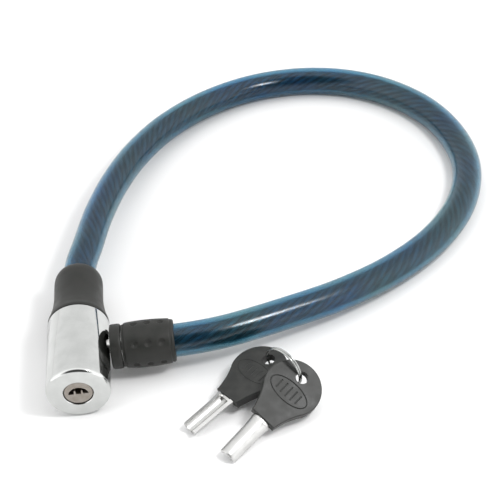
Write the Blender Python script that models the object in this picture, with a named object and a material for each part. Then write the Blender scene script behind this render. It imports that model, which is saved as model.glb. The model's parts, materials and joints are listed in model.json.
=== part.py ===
"""Cable lock with a chrome key body, a jacketed steel cable, a side plug and two keys on a split ring.

The lock body lies on its side with its axis along +Y, its key face towards -Y and the plug on its +X side.
+Z is up, the ground is z = 0, and the origin is on the ground in the middle of body, boot and keys.
"""

import math

import bmesh
import bpy
from mathutils import Matrix, Vector

MM = 0.001
GAP = 0.3 * MM

# Lock body
BODY_RADIUS = 13.0 * MM
BODY_LENGTH = 38.8 * MM
BODY_EDGE = 2.3 * MM
BODY_BORE = 10.9 * MM
LIP_DEPTH = 1.6 * MM
BACK_CHAMFER = 0.5 * MM
LOCK = Vector((-41.7, -17.9, 0.0)) * MM
AXIS = LOCK + Vector((0.0, 0.0, BODY_RADIUS))

# Key cylinder, its housing and pins
CYLINDER_RADIUS = 6.1 * MM
CYLINDER_FACE_RADIUS = 5.75 * MM
CYLINDER_FRONT = 0.4 * MM
CYLINDER_BACK = 16.4 * MM
TAIL_RADIUS = 2.0 * MM
TAIL_END = 17.4 * MM
KEYWAY_RADIUS = 4.15 * MM
KEYWAY_CENTRE = -1.2 * MM
KEYWAY_FLOOR = -0.55 * MM
KEYWAY_END = 15.4 * MM
WARD_FEET = (0.95 * MM, 1.9 * MM)
WARD_TIP = (1.25 * MM, 1.65 * MM)
WARD_TOP = 1.35 * MM
HOUSING_FRONT = LIP_DEPTH + GAP
HOUSING_BACK = 16.6 * MM
PIN_COUNT = 5
PIN_FIRST = 3.3 * MM
PIN_STEP = 2.7 * MM
PIN_RADIUS = 0.8 * MM
CHAMBER_RADIUS = 1.1 * MM
KEY_PIN = (2.3 * MM, 5.9 * MM)
DRIVER_PIN = (6.5 * MM, 8.2 * MM)
PIN_SPRING = (8.4 * MM, 10.5 * MM)

# Latch
PLUG_DISTANCE = 24.6 * MM
CAM_RADIUS = 7.2 * MM
CAM_FRONT = 16.9 * MM
CAM_BACK = 18.1 * MM
PEG_CIRCLE = 1.48 * MM
PEG_RADIUS = 0.8 * MM
PEG_END = 19.6 * MM
PEG_REST = math.radians(220)
LATCH_X = -1.3 * MM
LATCH_THICKNESS = 2.0 * MM
LATCH_FRONT = 18.5 * MM
LATCH_BACK = 29.5 * MM
LATCH_HALF_HEIGHT = 6.6 * MM
LATCH_WINDOW = 4.0 * MM
LATCH_TRAVEL = 1.9 * MM
NOTCH_HALF_HEIGHT = 2.05 * MM
NOTCH_END = 19.9 * MM
BLOCK_FRONT = 18.4 * MM
BLOCK_BACK = 30.4 * MM
BLOCK_RADIUS = BODY_BORE - GAP
LATCH_SPRING_Y = 24.2 * MM

# Cable anchor and boot
ANCHOR_FRONT = 30.8 * MM
ANCHOR_BACK = 38.5 * MM
ANCHOR_PIN_Y = 34.8 * MM
FERRULE_RADIUS = 7.0 * MM
FERRULE_START = 31.2 * MM
FERRULE_END = 50.6 * MM
BOOT_START = BODY_LENGTH + GAP
BOOT_END = 70.0 * MM
BOOT_FLARE = [
    (radius * MM, y * MM)
    for radius, y in ((12.9, 39.1), (12.9, 40.3), (12.2, 42.6), (11.3, 46.5), (10.8, 50.2), (10.5, 54.0))
]
BOOT_SHOULDER = (7.9 * MM, 64.4 * MM)

# Cable
CABLE_RADIUS = 6.9 * MM
JACKET_WALL = 2.0 * MM
ROPE_RADIUS = 4.5 * MM
CABLE_POINT_STEP = 12.0 * MM
JACKET_START = 51.0 * MM
ROPE_START = 34.0 * MM
JACKET_END = 34.0 * MM
ROPE_END = 22.0 * MM
# Middle of the cable from the boot to the plug, seen from the ground point under the body's front face
CABLE_ROUTE_MM = [
    (0.0, 60.0, 13.0), (0.0, 69.5, 13.0), (1.1, 80.0, 12.9), (3.9, 92.1, 12.7), (8.9, 114.7, 11.9),
    (16.8, 139.4, 10.8), (28.0, 163.5, 9.5), (44.3, 186.4, 8.3), (65.6, 204.5, 7.4), (91.2, 215.7, 7.0),
    (118.1, 217.5, 7.0), (142.8, 210.5, 7.0), (163.1, 195.8, 7.0), (178.0, 174.8, 7.0), (185.4, 149.2, 7.0),
    (184.9, 124.2, 7.0), (175.7, 99.0, 7.1), (159.1, 76.9, 7.4), (137.1, 59.0, 8.2), (112.4, 45.3, 9.6),
    (87.5, 35.6, 11.1), (65.8, 28.3, 12.4), (53.0, 25.5, 12.9), (42.5, 24.6, 13.0), (36.5, 24.6, 13.0),
]

# Plug
STUD_RADIUS = 3.6 * MM
STUD_TIP = -6.4 * MM
GROOVE_RADIUS = 1.8 * MM
GROOVE = (-2.8 * MM, 0.2 * MM)
STUD_HEAD_RADIUS = 5.6 * MM
STUD_HEAD = (15.6 * MM, 17.4 * MM)
SPIGOT_RADIUS = 2.4 * MM
SPIGOT_END = 21.0 * MM
PLUG_FERRULE_RADIUS = 6.9 * MM
PLUG_FERRULE = (17.7 * MM, 33.6 * MM)
COLLAR = (13.5 * MM, 18.0 * MM)
COLLAR_RADIUS = 9.3 * MM
SLEEVE_BARREL = [
    (radius * MM, x * MM)
    for radius, x in (
        (8.7, 18.3), (8.7, 19.0), (9.3, 19.5), (9.65, 23.0), (9.8, 27.7), (9.75, 32.2),
        (9.45, 36.6), (9.3, 37.9), (8.8, 38.2), (8.8, 39.2), (8.4, 39.8),
    )
]
SLEEVE_BORE = 7.25 * MM
SIDE_BORE = 5.6 * MM

# Keys
KEY_THICKNESS = 3.8 * MM
HEAD_RADIUS = 11.9 * MM
HEAD_CENTRE = 18.0 * MM
HEAD_BASE = 5.7 * MM
HEAD_BLEND_ANGLE = math.radians(-28)
RING_HOLE = 23.8 * MM
RING_HOLE_RADIUS = 2.6 * MM
BLADE_RADIUS = 3.9 * MM
BLADE_WALL = 1.4 * MM
BLADE_HALF_ANGLE = math.radians(76)
BLADE_GROOVE_ANGLE = math.radians(31)
BLADE_GROOVE_DEPTH = 0.8 * MM
BLADE_GROOVE_TOP = math.radians(12)
BLADE_GROOVE_FLOOR = math.radians(8)
BLADE_LENGTH = 20.3 * MM
BLADE_SHOULDER = 1.2 * MM
TANG = (2.6 * MM, 8.0 * MM, 0.65 * MM)
# Ring hole place, heading, pitch and roll of each key, and which way its blade's round side faces
FRONT_KEY = (Vector((88.7, -3.5, 10.9)) * MM, 41.6, 9.9, 26.0, 1)
REAR_KEY = (Vector((77.4, 9.9, 8.8)) * MM, 37.2, 8.0, -2.0, -1)
SPLIT_RING_RADIUS = 8.9 * MM
# Place of the ring's middle from midway between the holes: along the line to the front hole, and up
SPLIT_RING_MIDDLE = (-0.6 * MM, 1.8 * MM)
SPLIT_RING_WIRE = 0.42 * MM
SPLIT_RING_TURNS = 1.9
SPLIT_RING_PITCH = 0.9 * MM

CHROME = ("chrome", (0.80, 0.82, 0.82), 1.0, 0.08)
STEEL = ("steel", (0.62, 0.62, 0.60), 1.0, 0.25)
WARM_STEEL = ("warm_steel", (0.34, 0.32, 0.29), 1.0, 0.35)
BRASS = ("brass", (0.75, 0.58, 0.27), 1.0, 0.30)
SPRING_STEEL = ("spring_steel", (0.50, 0.50, 0.50), 1.0, 0.30)
BLACK_PLASTIC = ("black_plastic", (0.045, 0.045, 0.042), 0.0, 0.50)
BLUE_JACKET = ("blue_jacket", (0.03, 0.16, 0.27), 0.0, 0.15)


def clear_scene():
    for obj in list(bpy.data.objects):
        bpy.data.objects.remove(obj, do_unlink=True)


def material(look):
    name, colour, metallic, roughness = look
    found = bpy.data.materials.get(name)
    if found:
        return found
    made = bpy.data.materials.new(name)
    made.use_nodes = True
    shader = made.node_tree.nodes["Principled BSDF"]
    shader.inputs["Base Color"].default_value = (*colour, 1.0)
    shader.inputs["Metallic"].default_value = metallic
    shader.inputs["Roughness"].default_value = roughness
    return made


def add(name, bm, look, location, parent=None):
    """Makes an object from bm at a world location, under an empty if one is given."""
    bmesh.ops.recalc_face_normals(bm, faces=bm.faces)
    mesh = bpy.data.meshes.new(name)
    bm.to_mesh(mesh)
    bm.free()
    mesh.shade_smooth()
    mesh.set_sharp_from_angle(angle=math.radians(35))
    obj = bpy.data.objects.new(name, mesh)
    bpy.context.scene.collection.objects.link(obj)
    obj.location = location
    if look:
        mesh.materials.append(material(look))
    if parent:
        obj.parent = parent
        obj.location = Vector(location) - parent.location
    return obj


def pivot(name, location):
    """An empty on a joint's axis, which carries the pieces that move with the joint."""
    empty = bpy.data.objects.new(name, None)
    empty.empty_display_size = 5 * MM
    empty.location = location
    bpy.context.scene.collection.objects.link(empty)
    return empty


def turned(outline, axis, sides):
    """Turns (radius, distance) points about the axis. An outline that leaves the axis open is closed into a ring."""
    along = Vector({"X": (1, 0, 0), "Y": (0, 1, 0), "Z": (0, 0, 1)}[axis])
    out = Vector({"X": (0, 0, 1), "Y": (1, 0, 0), "Z": (1, 0, 0)}[axis])
    bm = bmesh.new()
    verts = [bm.verts.new(out * radius + along * distance) for radius, distance in outline]
    pairs = list(zip(verts, verts[1:]))
    if outline[0][0] > 0:
        pairs.append((verts[-1], verts[0]))
    edges = [bm.edges.new(pair) for pair in pairs]
    turn = {"cent": (0, 0, 0), "axis": along, "angle": math.tau, "steps": sides}
    bmesh.ops.spin(bm, geom=verts + edges, use_merge=True, **turn)
    bmesh.ops.remove_doubles(bm, verts=bm.verts, dist=1e-6)
    return bm


def rod(radius, start, end, axis, sides=16):
    return turned([(0.0, start), (radius, start), (radius, end), (0.0, end)], axis, sides)


def box(low, high):
    bm = bmesh.new()
    size = Vector(high) - Vector(low)
    middle = (Vector(high) + Vector(low)) / 2
    bmesh.ops.create_cube(bm, size=1.0, matrix=Matrix.Translation(middle) @ Matrix.Diagonal((*size, 1.0)))
    return bm


def prism(outline, low, high):
    """Extrudes an outline of (x, y) points from z = low to z = high."""
    bm = bmesh.new()
    face = bm.faces.new([bm.verts.new((x, y, low)) for x, y in outline])
    grown = bmesh.ops.extrude_face_region(bm, geom=[face])
    tops = [item for item in grown["geom"] if isinstance(item, bmesh.types.BMVert)]
    bmesh.ops.translate(bm, verts=tops, vec=(0, 0, high - low))
    return bm


def turn_bm(bm, matrix):
    bmesh.ops.transform(bm, matrix=matrix, verts=bm.verts)
    return bm


def joined(target, name, bm, operation, location, parent=None):
    """Cuts a hidden shape from the target, or adds one to it."""
    tool = add(name, bm, None, location, parent)
    tool.hide_render = True
    tool.display_type = "WIRE"
    change = target.modifiers.new(name, "BOOLEAN")
    change.operation = operation
    change.object = tool
    return tool


def cut(target, name, bm, location, parent=None):
    return joined(target, name, bm, "DIFFERENCE", location, parent)


def arc(centre, radius, start, end, steps, height=None):
    """(x, y) points along an arc, or along an ellipse's arc if a height is given for its other half-axis."""
    tall = radius if height is None else height
    angles = [start + (end - start) * i / steps for i in range(steps + 1)]
    return [(centre[0] + radius * math.cos(a), centre[1] + tall * math.sin(a)) for a in angles]


def coil(mean_radius, wire, length, turns, per_turn, sides):
    """A round-wire compression spring along +Z from z = 0, with both ends cut square to the wire."""
    bm = bmesh.new()
    rings = []
    steps = int(turns * per_turn)
    rise = (length - 2 * wire) / steps
    for i in range(steps + 1):
        angle = math.tau * i / per_turn
        outward = Vector((math.cos(angle), math.sin(angle), 0))
        middle = outward * mean_radius + Vector((0, 0, wire + rise * i))
        ring = []
        for k in range(sides):
            spin = math.tau * k / sides
            ring.append(bm.verts.new(middle + wire * (outward * math.cos(spin) + Vector((0, 0, math.sin(spin))))))
        rings.append(ring)
    for a, b in zip(rings, rings[1:]):
        for k in range(sides):
            bm.faces.new((a[k], a[(k + 1) % sides], b[(k + 1) % sides], b[k]))
    bm.faces.new(rings[0])
    bm.faces.new(list(reversed(rings[-1])))
    return bm


def pin_y(i):
    return PIN_FIRST + PIN_STEP * i


def make_body_shell():
    face = arc((BODY_RADIUS - BODY_EDGE, BODY_EDGE), BODY_EDGE, -math.pi / 2, 0.0, 5)
    opening = CYLINDER_FACE_RADIUS + GAP
    outline = [(opening, 0.0), *face]
    outline += [(BODY_RADIUS, BODY_LENGTH - BACK_CHAMFER), (BODY_RADIUS - BACK_CHAMFER, BODY_LENGTH)]
    outline += [(BODY_BORE, BODY_LENGTH), (BODY_BORE, LIP_DEPTH), (opening, LIP_DEPTH)]
    shell = add("body_shell", turned(outline, "Y", 48), CHROME, AXIS)
    side = rod(SIDE_BORE, 0.0, BODY_RADIUS * 1.2, "X", 32)
    cut(shell, "side_bore_cutter", side, AXIS + Vector((0, PLUG_DISTANCE, 0)))
    for name, y in (("retaining_hole_cutter", pin_y(2)), ("anchor_hole_cutter", ANCHOR_PIN_Y)):
        hole = rod(1.5 * MM, -BODY_RADIUS * 1.2, 0.0, "Z")
        cut(shell, name, hole, AXIS + Vector((0, y, 0)))
    return shell


def make_cylinder_housing():
    inner, outer = CYLINDER_RADIUS + GAP, BODY_BORE - GAP
    outline = [(inner, HOUSING_FRONT), (outer, HOUSING_FRONT), (outer, HOUSING_BACK), (inner, HOUSING_BACK)]
    housing = add("cylinder_housing", turned(outline, "Y", 36), BRASS, AXIS)
    for i in range(PIN_COUNT):
        chamber = rod(CHAMBER_RADIUS, 0.0, BODY_BORE, "Z")
        cut(housing, f"chamber_cutter_{i + 1}", chamber, AXIS + Vector((0, pin_y(i), 0)))
    seat = rod(1.2 * MM, -BODY_RADIUS, -8.5 * MM, "Z")
    cut(housing, "retaining_seat_cutter", seat, AXIS + Vector((0, pin_y(2), 0)))


def keyway_outline():
    """The half-moon that the key's blade goes through, in the plane of the front face, with two wards on its floor."""
    start = math.asin((KEYWAY_FLOOR - KEYWAY_CENTRE) / KEYWAY_RADIUS)
    roof = arc((0.0, KEYWAY_CENTRE), KEYWAY_RADIUS, start, math.pi - start, 14)
    right_ward = [
        (WARD_FEET[0], KEYWAY_FLOOR), (WARD_TIP[0], WARD_TOP), (WARD_TIP[1], WARD_TOP), (WARD_FEET[1], KEYWAY_FLOOR)
    ]
    left_ward = [(-x, y) for x, y in reversed(right_ward)]
    return roof + left_ward + right_ward


def make_key_cylinder(axis_empty):
    face, front, step = CYLINDER_FACE_RADIUS, CYLINDER_FRONT, LIP_DEPTH + GAP
    outline = [(0.0, front), (face - 0.2 * MM, front), (face, front + 0.2 * MM), (face, step)]
    outline += [(CYLINDER_RADIUS, step), (CYLINDER_RADIUS, CYLINDER_BACK)]
    outline += [(TAIL_RADIUS, CYLINDER_BACK), (TAIL_RADIUS, TAIL_END), (0.0, TAIL_END)]
    cylinder = add("key_cylinder", turned(outline, "Y", 40), WARM_STEEL, AXIS, axis_empty)
    slot = prism(keyway_outline(), -KEYWAY_END, 5 * MM)
    turn_bm(slot, Matrix.Rotation(math.pi / 2, 4, "X"))
    cut(cylinder, "keyway_cutter", slot, AXIS, axis_empty)
    for i in range(PIN_COUNT):
        chamber = rod(CHAMBER_RADIUS, 1.6 * MM, BODY_BORE, "Z")
        cut(cylinder, f"key_pin_cutter_{i + 1}", chamber, AXIS + Vector((0, pin_y(i), 0)), axis_empty)
    hub = [(0.0, TAIL_END + GAP), (TAIL_RADIUS + GAP, TAIL_END + GAP), (TAIL_RADIUS + GAP, CAM_FRONT)]
    hub += [(CAM_RADIUS, CAM_FRONT), (CAM_RADIUS, CAM_BACK), (0.0, CAM_BACK)]
    cam = add("drive_cam", turned(hub, "Y", 32), STEEL, AXIS, axis_empty)
    peg_x, peg_z = PEG_CIRCLE * math.cos(PEG_REST), PEG_CIRCLE * math.sin(PEG_REST)
    peg = rod(PEG_RADIUS, CAM_BACK - 0.2 * MM, PEG_END, "Y")
    joined(cam, "cam_peg", peg, "UNION", AXIS + Vector((peg_x, 0, peg_z)), axis_empty)


def make_pins(key_pins, driver_pins):
    tip, length = 0.5 * MM, KEY_PIN[1] - KEY_PIN[0]
    for i in range(PIN_COUNT):
        place = AXIS + Vector((0, pin_y(i), 0))
        pointed = [(0.0, 0.0), (PIN_RADIUS * 0.4, 0.0), (PIN_RADIUS, tip), (PIN_RADIUS, length), (0.0, length)]
        key_pin = turned(pointed, "Z", 12)
        add(f"key_pin_{i + 1}", key_pin, BRASS, place + Vector((0, 0, KEY_PIN[0])), key_pins)
        driver = rod(PIN_RADIUS, 0.0, DRIVER_PIN[1] - DRIVER_PIN[0], "Z", 12)
        add(f"driver_pin_{i + 1}", driver, STEEL, place + Vector((0, 0, DRIVER_PIN[0])), driver_pins)
        spring = coil(0.62 * MM, 0.13 * MM, PIN_SPRING[1] - PIN_SPRING[0], 3.5, 8, 4)
        add(f"pin_spring_{i + 1}", spring, SPRING_STEEL, place + Vector((0, 0, PIN_SPRING[0])))


def make_latch(latch):
    place = AXIS + Vector((LATCH_X, 0, 0))
    half = LATCH_THICKNESS / 2
    plate_bm = box((-half, LATCH_FRONT, -LATCH_HALF_HEIGHT), (half, LATCH_BACK, LATCH_HALF_HEIGHT))
    plate = add("latch_plate", plate_bm, STEEL, place, latch)
    window = rod(LATCH_WINDOW, -2 * LATCH_THICKNESS, 2 * LATCH_THICKNESS, "X", 32)
    cut(plate, "window_cutter", window, place + Vector((0, PLUG_DISTANCE, 0)), latch)
    notch_low = (-2 * half, LATCH_FRONT - 1 * MM, -NOTCH_HALF_HEIGHT)
    notch = box(notch_low, (2 * half, NOTCH_END, NOTCH_HALF_HEIGHT))
    cut(plate, "notch_cutter", notch, place, latch)
    spring_low = -9.9 * MM
    spring = coil(0.95 * MM, 0.17 * MM, -LATCH_HALF_HEIGHT - GAP - spring_low, 3.5, 10, 5)
    add("latch_spring", spring, SPRING_STEEL, place + Vector((0, LATCH_SPRING_Y, spring_low)))

    block = add("latch_block", rod(BLOCK_RADIUS, BLOCK_FRONT, BLOCK_BACK, "Y", 32), BRASS, AXIS)
    slot_half = half + GAP
    slot_low = (LATCH_X - slot_half, 0.0, -LATCH_HALF_HEIGHT - 1.8 * MM)
    slot_high = (LATCH_X + slot_half, LATCH_BACK + GAP, LATCH_HALF_HEIGHT + LATCH_TRAVEL + GAP)
    cut(block, "latch_slot_cutter", box(slot_low, slot_high), AXIS)
    guide = rod(STUD_RADIUS + 2 * GAP, STUD_TIP - 1 * MM, BODY_RADIUS, "X", 32)
    cut(block, "stud_guide_cutter", guide, AXIS + Vector((0, PLUG_DISTANCE, 0)))
    pocket = rod(1.4 * MM, spring_low - 0.2 * MM, -5 * MM, "Z")
    cut(block, "spring_pocket_cutter", pocket, place + Vector((0, LATCH_SPRING_Y, 0)))
    relief = rod(PEG_CIRCLE + PEG_RADIUS + GAP, BLOCK_FRONT - 1 * MM, PEG_END + GAP, "Y")
    cut(block, "peg_relief_cutter", relief, AXIS)


def make_anchor():
    inner, outer = FERRULE_RADIUS + GAP, BODY_BORE - GAP
    ring = [(inner, ANCHOR_FRONT), (outer, ANCHOR_FRONT), (outer, ANCHOR_BACK), (inner, ANCHOR_BACK)]
    block = add("anchor_block", turned(ring, "Y", 36), BRASS, AXIS)
    bore = ROPE_RADIUS + GAP
    tube = [(0.0, FERRULE_START), (FERRULE_RADIUS, FERRULE_START), (FERRULE_RADIUS, FERRULE_END)]
    tube += [(bore, FERRULE_END), (bore, ROPE_START - GAP), (0.0, ROPE_START - GAP)]
    ferrule = add("anchor_ferrule", turned(tube, "Y", 24), STEEL, AXIS)
    place = AXIS + Vector((0, ANCHOR_PIN_Y, 0))
    for piece, name in ((block, "anchor_block_hole_cutter"), (ferrule, "ferrule_hole_cutter")):
        cut(piece, name, rod(1.5 * MM, -BODY_RADIUS, -5.2 * MM, "Z"), place)
    add("anchor_pin", rod(1.2 * MM, -12.6 * MM, -5.5 * MM, "Z"), STEEL, place)
    seat = AXIS + Vector((0, pin_y(2), 0))
    add("retaining_pin", rod(0.9 * MM, -12.5 * MM, -8.8 * MM, "Z"), STEEL, seat)


def make_boot():
    mouth, root = BOOT_FLARE[-1], BOOT_SHOULDER
    rounded = arc((root[0], root[1]), mouth[0] - root[0], 0.0, math.pi / 2, 5, BOOT_END - root[1])
    bore, ferrule_bore = CABLE_RADIUS + GAP, FERRULE_RADIUS + GAP
    outline = [*BOOT_FLARE, *rounded, (bore, BOOT_END), (bore, FERRULE_END)]
    outline += [(ferrule_bore, FERRULE_END), (ferrule_bore, BOOT_START)]
    add("cable_boot", turned(outline, "Y", 40), BLACK_PLASTIC, AXIS)


def smooth_line(route, step):
    """Points about one step apart on a smooth curve through the route's points."""
    ends = [route[0] * 2 - route[1], *route, route[-1] * 2 - route[-2]]
    fine = []
    for a, b, c, d in zip(ends, ends[1:], ends[2:], ends[3:]):
        for i in range(40):
            t = i / 40
            fine.append(
                (b * 2 + (c - a) * t + (a * 2 - b * 5 + c * 4 - d) * t**2 + (b * 3 - a - c * 3 + d) * t**3) / 2
            )
    fine.append(route[-1])
    far = [0.0]
    for a, b in zip(fine, fine[1:]):
        far.append(far[-1] + (b - a).length)
    count = round(far[-1] / step)
    line, k = [], 0
    for i in range(count + 1):
        wanted = far[-1] * i / count
        while far[k + 1] < wanted and k < len(fine) - 2:
            k += 1
        line.append(fine[k].lerp(fine[k + 1], (wanted - far[k]) / (far[k + 1] - far[k])))
    return line


def tube(name, points, radius, look, wall=0.0):
    """A round tube along the points, solid or with a wall of that thickness."""
    curve = bpy.data.curves.new(name, "CURVE")
    curve.dimensions = "3D"
    curve.twist_mode = "Z_UP"
    curve.bevel_depth = radius
    curve.bevel_resolution = 3
    curve.use_fill_caps = not wall
    spline = curve.splines.new("POLY")
    spline.points.add(len(points) - 1)
    for point, place in zip(spline.points, points):
        point.co = (*place, 1.0)
    curve.materials.append(material(look))
    obj = bpy.data.objects.new(name, curve)
    bpy.context.scene.collection.objects.link(obj)
    if wall:
        hollow = obj.modifiers.new("wall", "SOLIDIFY")
        hollow.thickness = wall
        hollow.offset = -1.0
        hollow.use_even_offset = True
    return obj


def make_cable():
    middle = smooth_line([LOCK + Vector(point) * MM for point in CABLE_ROUTE_MM], CABLE_POINT_STEP)
    plug_axis = AXIS + Vector((0, PLUG_DISTANCE, 0))
    jacket = [AXIS + Vector((0, JACKET_START, 0)), *middle, plug_axis + Vector((JACKET_END, 0, 0))]
    rope = [AXIS + Vector((0, ROPE_START, 0)), *middle, plug_axis + Vector((ROPE_END, 0, 0))]
    tube("cable_jacket", jacket, CABLE_RADIUS, BLUE_JACKET, JACKET_WALL)
    tube("wire_rope", rope, ROPE_RADIUS, STEEL)


def make_plug(plug):
    place = AXIS + Vector((0, PLUG_DISTANCE, 0))
    tip = arc((STUD_RADIUS - 1.6 * MM, STUD_TIP + 1.6 * MM), 1.6 * MM, -math.pi / 2, 0.0, 4)
    outline = [(0.0, STUD_TIP), *tip, (STUD_RADIUS, GROOVE[0]), (GROOVE_RADIUS, GROOVE[0])]
    outline += [(GROOVE_RADIUS, GROOVE[1]), (STUD_RADIUS, GROOVE[1]), (STUD_RADIUS, STUD_HEAD[0])]
    outline += [(STUD_HEAD_RADIUS, STUD_HEAD[0]), (STUD_HEAD_RADIUS, STUD_HEAD[1]), (SPIGOT_RADIUS, STUD_HEAD[1])]
    outline += [(SPIGOT_RADIUS, SPIGOT_END), (0.0, SPIGOT_END)]
    stud = add("latch_stud", turned(outline, "X", 24), STEEL, place, plug)

    start, end = PLUG_FERRULE
    bore, spigot_bore = ROPE_RADIUS + GAP, SPIGOT_RADIUS + GAP
    tube_outline = [(spigot_bore, start), (PLUG_FERRULE_RADIUS, start), (PLUG_FERRULE_RADIUS, end), (bore, end)]
    tube_outline += [(bore, SPIGOT_END + GAP), (spigot_bore, SPIGOT_END + GAP)]
    ferrule = add("plug_ferrule", turned(tube_outline, "X", 24), STEEL, place, plug)
    pin_x = Vector((19.4 * MM, 0, 0))
    for piece, name in ((stud, "spigot_hole_cutter"), (ferrule, "plug_ferrule_hole_cutter")):
        cut(piece, name, rod(1.0 * MM, -BODY_RADIUS, BODY_RADIUS, "Z"), place + pin_x, plug)
    add("stud_pin", rod(0.7 * MM, -6.4 * MM, 6.4 * MM, "Z", 12), STEEL, place + pin_x, plug)

    front, back = COLLAR
    edge = arc((COLLAR_RADIUS - 0.8 * MM, front + 0.8 * MM), 0.8 * MM, 0.0, -math.pi / 2, 3)
    rim = [(STUD_RADIUS + GAP, front), *reversed(edge), (COLLAR_RADIUS, back - 0.6 * MM)]
    rim += [(COLLAR_RADIUS - 0.6 * MM, back), (SLEEVE_BORE, back), (SLEEVE_BORE, STUD_HEAD[0] - GAP)]
    rim += [(STUD_RADIUS + GAP, STUD_HEAD[0] - GAP)]
    add("plug_collar", turned(rim, "X", 32), BLACK_PLASTIC, place, plug)

    wall = list(SLEEVE_BARREL)
    wall += [(SLEEVE_BORE, SLEEVE_BARREL[-1][1]), (SLEEVE_BORE, SLEEVE_BARREL[0][1])]
    add("plug_sleeve", turned(wall, "X", 32), BLACK_PLASTIC, place, plug)


def head_outline():
    """The key head's outline: a round bow that runs down in two hollow flanks to a straight base."""
    start, end = HEAD_BLEND_ANGLE, math.pi - HEAD_BLEND_ANGLE
    bow = arc((0.0, HEAD_CENTRE), HEAD_RADIUS, start, end, 28)
    top = Vector(bow[-1])
    base = Vector((-HEAD_BASE, 0.0))
    pull = Vector((-7.2 * MM, 7.6 * MM))
    flank = [top * (1 - t) ** 2 + pull * 2 * t * (1 - t) + base * t**2 for t in (0.25, 0.5, 0.75, 1.0)]
    left = [(point.x, point.y) for point in flank]
    right = [(-x, y) for x, y in reversed(left)]
    return bow + left + right


def blade_outline(radius, wall):
    """A blade's half-round section, its middle height at y = 0. With a wall it is hollow and grooved for the wards."""
    centre = (0.0, -(radius + radius * math.cos(BLADE_HALF_ANGLE)) / 2)
    high, low = math.pi / 2 - BLADE_HALF_ANGLE, math.pi / 2 + BLADE_HALF_ANGLE
    outline = arc(centre, radius, high, low, 12)
    if not wall:
        return outline
    start = low
    for side in (1, -1):
        middle = math.pi / 2 + side * BLADE_GROOVE_ANGLE
        floor = (middle + BLADE_GROOVE_FLOOR, middle - BLADE_GROOVE_FLOOR)
        outline += arc(centre, radius - wall, start, middle + BLADE_GROOVE_TOP, 3)
        outline += arc(centre, radius - wall + BLADE_GROOVE_DEPTH, *floor, 1)
        start = middle - BLADE_GROOVE_TOP
    return outline + arc(centre, radius - wall, start, high, 3)


def make_key(name, pose, swing):
    hole, heading, pitch, roll, up = pose
    turn = Matrix.Rotation(math.radians(heading - 90), 4, "Z")
    turn = turn @ Matrix.Rotation(math.radians(pitch), 4, "X") @ Matrix.Rotation(math.radians(roll), 4, "Y")
    turn = turn @ Matrix.Translation((0.0, -RING_HOLE, 0.0))
    place = LOCK + hole
    head_bm = turn_bm(prism(head_outline(), -KEY_THICKNESS / 2, KEY_THICKNESS / 2), turn)
    head = add(f"{name}_head", head_bm, BLACK_PLASTIC, place, swing)
    eye = rod(RING_HOLE_RADIUS, -KEY_THICKNESS, KEY_THICKNESS, "Z", 20)
    turn_bm(eye, turn @ Matrix.Translation((0.0, RING_HOLE, 0.0)))
    cut(head, f"{name}_eye_cutter", eye, place, swing)
    width, length, thickness = TANG
    pocket_low = (-width - GAP, -1 * MM, -thickness - GAP)
    pocket = turn_bm(box(pocket_low, (width + GAP, length + GAP, thickness + GAP)), turn)
    cut(head, f"{name}_pocket_cutter", pocket, place, swing)

    lay = Matrix.Rotation(math.pi / 2, 4, "X")
    if up < 0:
        lay = Matrix.Rotation(math.pi, 4, "Y") @ lay
    shaft = prism(blade_outline(BLADE_RADIUS, BLADE_WALL), BLADE_SHOULDER / 2, BLADE_LENGTH)
    blade = add(f"{name}_blade", turn_bm(shaft, turn @ lay), STEEL, place, swing)
    shoulder = prism(blade_outline(BLADE_RADIUS - 0.1 * MM, 0.0), GAP, BLADE_SHOULDER)
    joined(blade, f"{name}_shoulder", turn_bm(shoulder, turn @ lay), "UNION", place, swing)
    tang = box((-width, -BLADE_SHOULDER / 2, -thickness), (width, length, thickness))
    joined(blade, f"{name}_tang", turn_bm(tang, turn), "UNION", place, swing)


def make_split_ring(lift):
    """Nearly two turns of wire, standing on edge in the upright plane through both ring holes."""
    front, rear = FRONT_KEY[0], REAR_KEY[0]
    chord = front - rear
    thickness = 2 * SPLIT_RING_WIRE + SPLIT_RING_TURNS * SPLIT_RING_PITCH
    wire = coil(SPLIT_RING_RADIUS, SPLIT_RING_WIRE, thickness, SPLIT_RING_TURNS, 28, 6)
    turn_bm(wire, Matrix.Translation((0, 0, -thickness / 2)))
    stand = Matrix.Rotation(math.atan2(chord.y, chord.x), 4, "Z") @ Matrix.Rotation(math.pi / 2, 4, "X")
    turn_bm(wire, stand @ Matrix.Rotation(math.radians(205), 4, "Z"))
    along, rise = SPLIT_RING_MIDDLE
    middle = (front + rear) / 2 + chord.normalized() * along + Vector((0, 0, rise))
    add("split_ring", wire, STEEL, LOCK + middle, lift)


def main():
    clear_scene()
    make_body_shell()
    make_cylinder_housing()
    key_turn = pivot("key_turn_axis", AXIS)
    make_key_cylinder(key_turn)
    key_pins = pivot("key_pins_slide", AXIS)
    driver_pins = pivot("driver_pins_slide", AXIS)
    make_pins(key_pins, driver_pins)
    make_latch(pivot("latch_slide", AXIS))
    make_anchor()
    make_boot()
    make_cable()
    make_plug(pivot("plug_slide", AXIS + Vector((0, PLUG_DISTANCE, 0))))
    make_key("front_key", FRONT_KEY, pivot("front_key_swing", LOCK + FRONT_KEY[0]))
    make_key("rear_key", REAR_KEY, pivot("rear_key_swing", LOCK + REAR_KEY[0]))
    make_split_ring(pivot("key_ring_lift", LOCK))


main()
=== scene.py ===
"""Looks of the cable lock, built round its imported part: smooth shells, a clear jacket over a stranded rope, and keys.

Places are in metres in the part's own frame: the lock body lies along +Y with its key face towards -Y, the plug is
on its +X side, and the ground is z = 0. Sizes given in millimetres are multiplied by MM.
"""

import json
import math

import bmesh
import bpy
from mathutils import Matrix, Vector


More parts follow.
